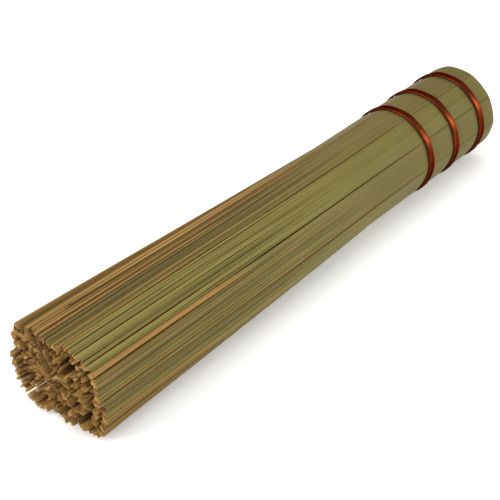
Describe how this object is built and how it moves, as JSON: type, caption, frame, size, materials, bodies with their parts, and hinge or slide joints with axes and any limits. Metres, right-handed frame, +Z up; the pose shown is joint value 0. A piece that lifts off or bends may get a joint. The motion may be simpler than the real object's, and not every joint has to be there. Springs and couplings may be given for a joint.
{
  "type": "bamboo wok brush",
  "caption": "Bamboo wok brush: a bundle of split bamboo slats, bound at the handle by flat red bands and split into fine stiff splints that end in a flattened brush face.",
  "frame": {"origin": "on the surface that the brush lies on, below the middle of its length and width", "axes": "+X along the brush from the tips to the handle end, +Z up from the surface, +Y across"},
  "size_m": [0.25, 0.047, 0.0415],
  "materials": {
    "green_bark": "smooth olive-green bamboo bark with fine lengthways grain, satin",
    "tan_bark": "smooth tan bamboo bark with fine lengthways grain, satin",
    "inner_bamboo": "split inner bamboo, fibrous, matte, golden brown at the cut ends",
    "red_band": "glossy orange-red, slightly translucent at the edges"
  },
  "bodies": {
    "root": {"outer_slat_1": "green_bark", "outer_slat_2": "tan_bark", "outer_slat_3": "green_bark", "outer_slat_4": "tan_bark", "outer_slat_5": "green_bark", "outer_slat_6": "tan_bark", "outer_slat_7": "green_bark", "outer_slat_8": "tan_bark", "outer_slat_9": "green_bark", "outer_slat_10": "tan_bark", "second_ring_slat_1": "inner_bamboo", "second_ring_slat_2": "inner_bamboo", "second_ring_slat_3": "inner_bamboo", "second_ring_slat_4": "inner_bamboo", "second_ring_slat_5": "inner_bamboo", "second_ring_slat_6": "inner_bamboo", "second_ring_slat_7": "inner_bamboo", "second_ring_slat_8": "inner_bamboo", "third_ring_slat_1": "inner_bamboo", "third_ring_slat_2": "inner_bamboo", "third_ring_slat_3": "inner_bamboo", "third_ring_slat_4": "inner_bamboo", "third_ring_slat_5": "inner_bamboo", "third_ring_slat_6": "inner_bamboo", "fourth_ring_slat_1": "inner_bamboo", "fourth_ring_slat_2": "inner_bamboo", "fourth_ring_slat_3": "inner_bamboo", "fourth_ring_slat_4": "inner_bamboo", "fifth_ring_slat_1": "inner_bamboo", "fifth_ring_slat_2": "inner_bamboo", "fifth_ring_slat_3": "inner_bamboo", "core_slat_1": "inner_bamboo", "core_slat_2": "inner_bamboo", "band_handle_end": "red_band", "band_middle": "red_band", "band_brush_side": "red_band"}
  },
  "joints": []
}
